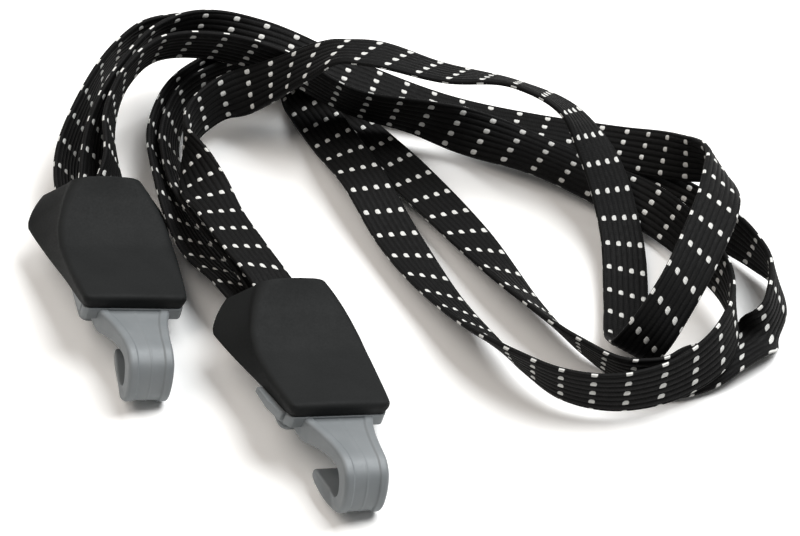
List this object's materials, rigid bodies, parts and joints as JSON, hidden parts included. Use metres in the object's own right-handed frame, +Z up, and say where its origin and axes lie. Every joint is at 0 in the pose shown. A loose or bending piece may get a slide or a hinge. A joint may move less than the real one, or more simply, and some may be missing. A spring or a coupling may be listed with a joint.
{
  "type": "bungee cord",
  "caption": "Flat elastic luggage cord of ribbed, white-dotted straps that lie in a loose tangle, with a plastic hook under a hood-shaped cover at each end.",
  "frame": {"origin": "bottom centre of the box around the two hook ends, on the surface that the cord lies on", "axes": "+Z up from the surface, -Y the way both hooks point, +X towards the loops of the straps"},
  "size_m": [0.2167, 0.1821, 0.0415],
  "materials": {
    "cover_plastic": "fine matte moulded black plastic",
    "hook_plastic": "satin grey moulded plastic",
    "steel": "zinc-plated steel",
    "elastic": "black braided elastic with lengthwise ribs and rows of small white dots"
  },
  "bodies": {
    "straps": {"strap_inner": "elastic", "strap_looped": "elastic", "strap_outer": "elastic", "end_a_clamp": "steel", "end_a_rivet_1": "steel", "end_a_rivet_2": "steel", "end_b_clamp": "steel", "end_b_rivet_1": "steel", "end_b_rivet_2": "steel"},
    "end_a": {"end_a_cover": "cover_plastic", "end_a_hook": "hook_plastic", "end_a_pin": "steel", "end_a_screw_1": "steel", "end_a_screw_2": "steel"},
    "end_b": {"end_b_cover": "cover_plastic", "end_b_hook": "hook_plastic", "end_b_pin": "steel", "end_b_screw_1": "steel", "end_b_screw_2": "steel"}
  },
  "joints": [
    {"name": "end_a_tilt", "type": "hinge", "parent": "straps", "child": "end_a", "pos_m": [-0.0275, 0.03315, 0.01061], "axis": [0.9307, 0.2484, -0.2687], "range_deg": [-1, 3.5]},
    {"name": "end_b_tilt", "type": "hinge", "parent": "straps", "child": "end_b", "pos_m": [0.02816, -0.00836, 0.01099], "axis": [0.8977, 0.3207, -0.3022], "range_deg": [-1, 3.5]}
  ]
}
